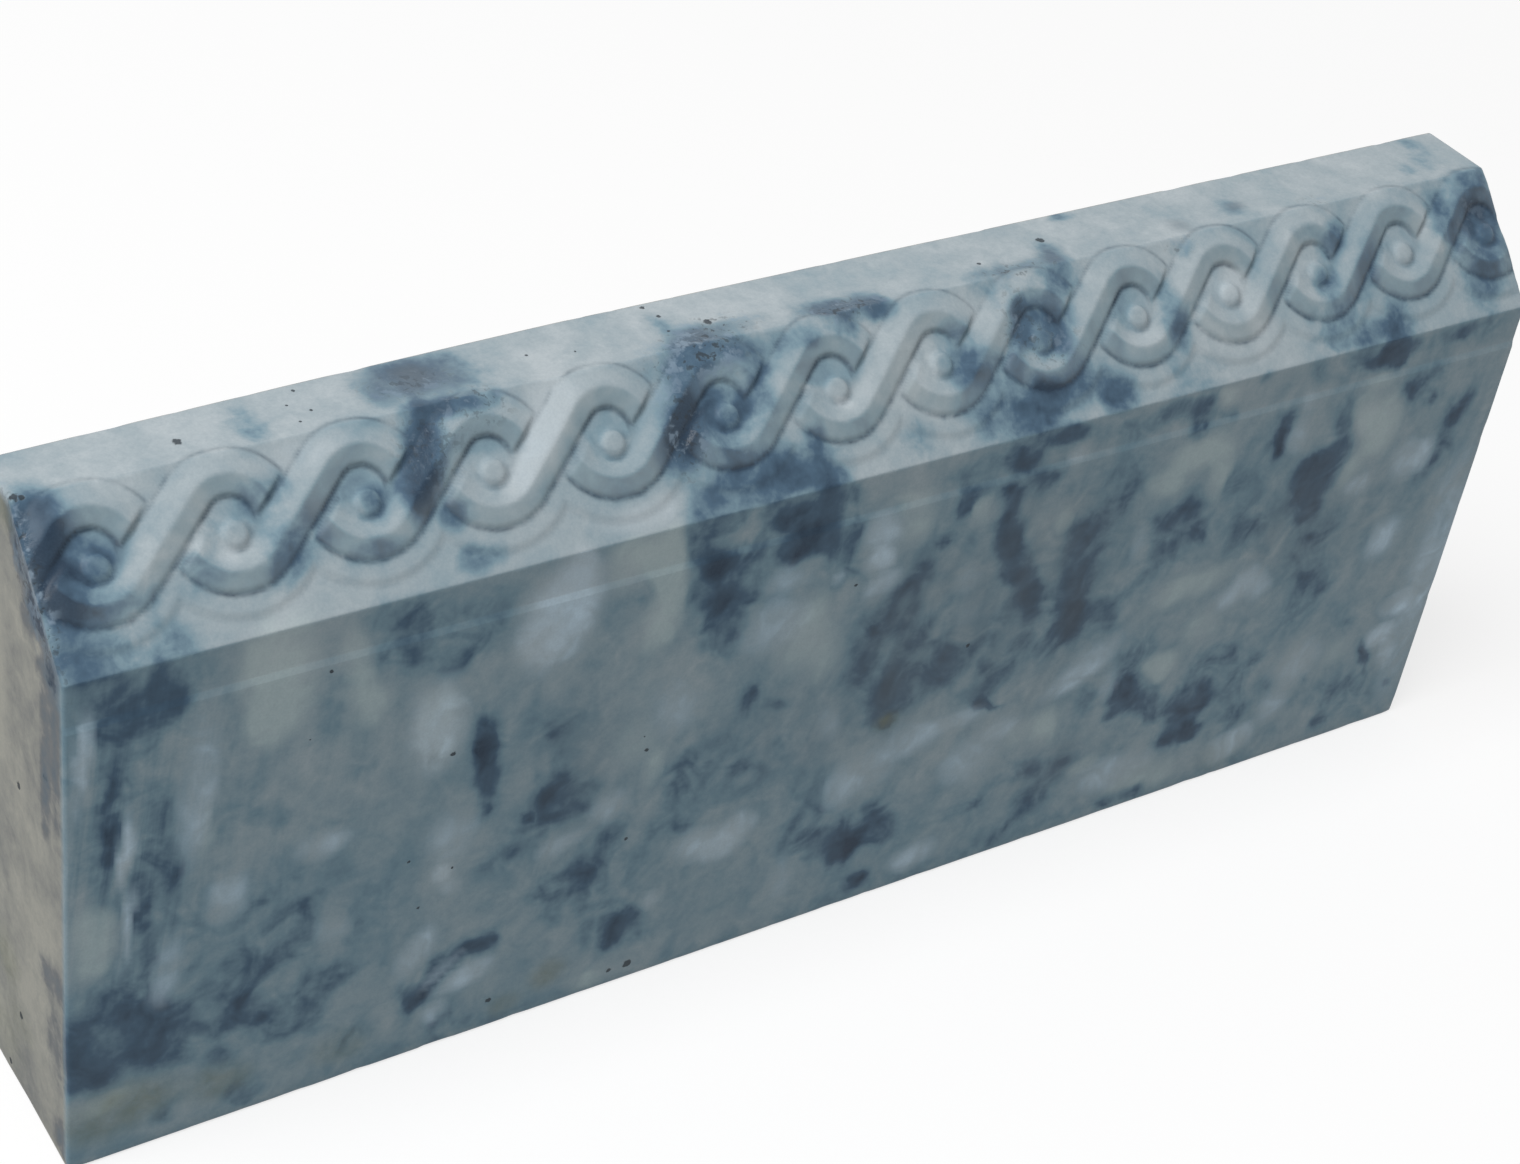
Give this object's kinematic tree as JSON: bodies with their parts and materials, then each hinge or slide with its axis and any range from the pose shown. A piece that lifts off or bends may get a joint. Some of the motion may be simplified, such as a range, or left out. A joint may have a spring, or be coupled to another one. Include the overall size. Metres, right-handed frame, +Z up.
{
  "type": "concrete kerb stone",
  "caption": "Cast concrete kerb stone: an upright slab whose sloping front edge carries a woven guilloche in relief, laid end to end to edge paths and paving.",
  "frame": {"origin": "middle of the base, the face that beds in the ground", "axes": "+X along the kerb from its left end to its right end as seen from the front, +Y from the ornamented front to the plain back, +Z up"},
  "size_m": [0.5, 0.06, 0.205],
  "materials": {
    "concrete": "cast smooth in a mould, semi-gloss, marbled with blue-grey stains and small air holes"
  },
  "bodies": {
    "root": {"kerb_stone": "concrete"}
  },
  "joints": []
}
